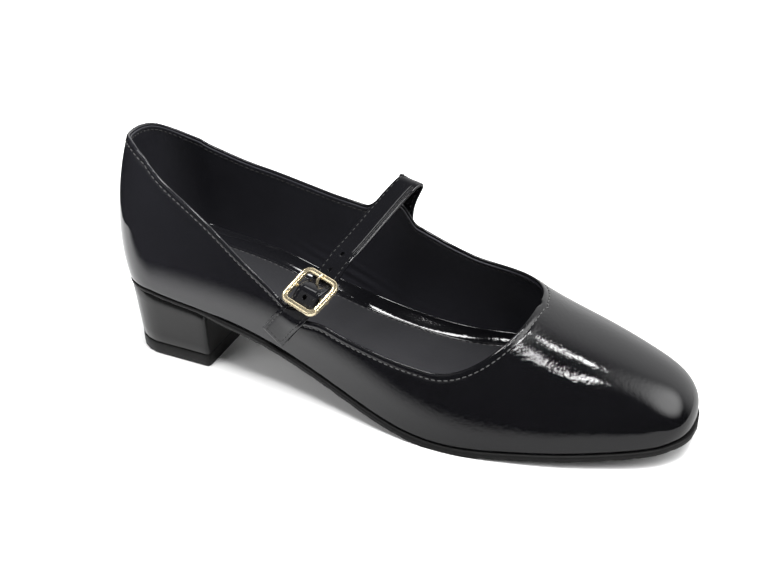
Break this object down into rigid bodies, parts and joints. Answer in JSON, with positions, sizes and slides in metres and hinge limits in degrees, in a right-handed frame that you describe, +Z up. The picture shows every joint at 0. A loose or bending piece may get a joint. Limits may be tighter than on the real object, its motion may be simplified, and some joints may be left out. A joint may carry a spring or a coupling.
{
  "type": "mary jane shoe",
  "caption": "Low block-heeled mary jane shoe with a square-round toe, scooped throat and a narrow buckled strap over the instep, in black patent leather.",
  "frame": {"origin": "on the ground plane, under the middle of the shoe's bounding box", "axes": "+X from the heel to the toe, +Y to the inner (big toe) side, +Z up"},
  "size_m": [0.2412, 0.0796, 0.0934],
  "materials": {
    "patent_leather": "black patent, mirror gloss",
    "lining_leather": "smooth black lining leather, satin",
    "sole_rubber": "matte black",
    "heel_gloss": "gloss black lacquer",
    "pale_gold": "polished pale gold plate"
  },
  "bodies": {
    "root": {"upper": "patent_leather", "outsole": "sole_rubber", "insole": "lining_leather", "heel_block": "heel_gloss", "heel_top_piece": "sole_rubber", "strap": "patent_leather", "buckle_tab": "patent_leather", "buckle_frame": "pale_gold", "buckle_prong": "pale_gold"}
  },
  "joints": []
}
